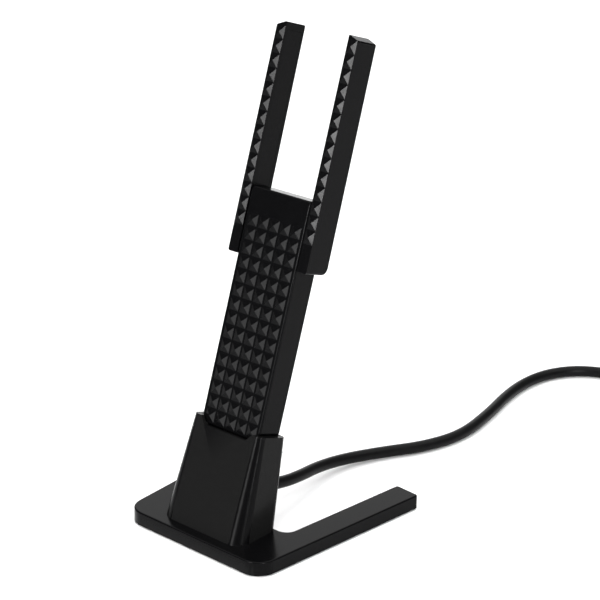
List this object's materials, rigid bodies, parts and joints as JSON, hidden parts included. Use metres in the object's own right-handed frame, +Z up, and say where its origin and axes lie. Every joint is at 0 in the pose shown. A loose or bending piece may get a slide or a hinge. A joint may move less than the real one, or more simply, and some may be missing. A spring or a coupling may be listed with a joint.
{
  "type": "usb wifi adapter in a desk cradle",
  "caption": "Black USB wireless adapter with flip-up side antennas and pyramid-studded face, leaning in a U-footed desk cradle with an extension lead.",
  "frame": {"origin": "on the standing surface, at the centre of the footprint box of the cradle with the adapter in it", "axes": "+Z up, -Y towards the studded face, +X to the right seen from the front"},
  "size_m": [0.1195, 0.3411, 0.1846],
  "materials": {
    "adapter_plastic": "black ABS, fine satin texture on the sides, glossier on the stud field",
    "antenna_plastic": "black ABS, fine satin texture",
    "cradle_plastic": "black ABS, satin",
    "nickel_plate": "nickel-plated stamped steel",
    "gold_contacts": "gold-plated spring contacts",
    "insulator_plastic": "blue moulded insulator",
    "zinc_steel": "zinc-plated steel",
    "brass": "turned brass",
    "spring_steel": "spring steel",
    "circuit_board": "green solder mask over glass-epoxy laminate",
    "chip_plastic": "black epoxy package",
    "thermal_pad": "soft grey-blue gap pad",
    "aluminium": "bare rolled aluminium",
    "foot_rubber": "black rubber pad",
    "lead_jacket": "black flexible PVC jacket",
    "lead_moulding": "black overmoulded PVC, satin",
    "tie_nylon": "black woven hook-and-loop tie",
    "coax_jacket": "thin black coaxial lead"
  },
  "bodies": {
    "cradle": {"ballast_plate": "zinc_steel", "base_bottom_cover": "cradle_plastic", "base_screws": "zinc_steel", "base_top_shell": "cradle_plastic", "foot_back_left": "foot_rubber", "foot_back_right": "foot_rubber", "foot_front_left": "foot_rubber", "foot_front_right": "foot_rubber", "lead_coil": "lead_jacket", "lead_plug_contacts": "gold_contacts", "lead_plug_insulator": "insulator_plastic", "lead_plug_overmould": "lead_moulding", "lead_plug_shell": "nickel_plate", "lead_strain_relief": "lead_moulding", "lead_tail": "lead_jacket", "lead_tie": "tie_nylon", "lead_tube": "lead_jacket", "pillar_rear_cover": "cradle_plastic", "pillar_screws": "zinc_steel", "pillar_shell": "cradle_plastic", "socket_board": "circuit_board", "socket_board_screws": "zinc_steel", "socket_contacts": "gold_contacts", "socket_insulator": "insulator_plastic", "socket_shell": "nickel_plate"},
    "adapter": {"adapter_front_shell": "adapter_plastic", "adapter_plug_contacts": "gold_contacts", "adapter_plug_insulator": "insulator_plastic", "adapter_plug_shell": "nickel_plate", "adapter_rear_cover": "adapter_plastic", "heat_spreader": "aluminium", "left_coax_lead": "coax_jacket", "left_friction_washer": "spring_steel", "left_hinge_bush": "brass", "main_board": "circuit_board", "memory_chip": "chip_plastic", "right_coax_lead": "coax_jacket", "right_friction_washer": "spring_steel", "right_hinge_bush": "brass", "shielding_can": "nickel_plate", "thermal_pad": "thermal_pad", "wireless_chip": "chip_plastic"},
    "left_antenna": {"left_antenna_case": "antenna_plastic", "left_antenna_feed": "coax_jacket", "left_antenna_lid": "antenna_plastic", "left_hinge_pin": "brass", "left_radiator": "circuit_board", "left_retaining_clip": "spring_steel"},
    "right_antenna": {"right_antenna_case": "antenna_plastic", "right_antenna_feed": "coax_jacket", "right_antenna_lid": "antenna_plastic", "right_hinge_pin": "brass", "right_radiator": "circuit_board", "right_retaining_clip": "spring_steel"}
  },
  "joints": [
    {"name": "adapter_lift", "type": "slide", "parent": "cradle", "child": "adapter", "axis": [0, 0.309, 0.9511], "range_m": [0, 0.025]},
    {"name": "left_antenna_flip", "type": "hinge", "parent": "adapter", "child": "left_antenna", "pos_m": [-0.01475, 0.00792, 0.11265], "axis": [-1, 0, 0], "range_deg": [0, 180]},
    {"name": "right_antenna_flip", "type": "hinge", "parent": "adapter", "child": "right_antenna", "pos_m": [0.01475, 0.00792, 0.11265], "axis": [-1, 0, 0], "range_deg": [0, 180]}
  ]
}
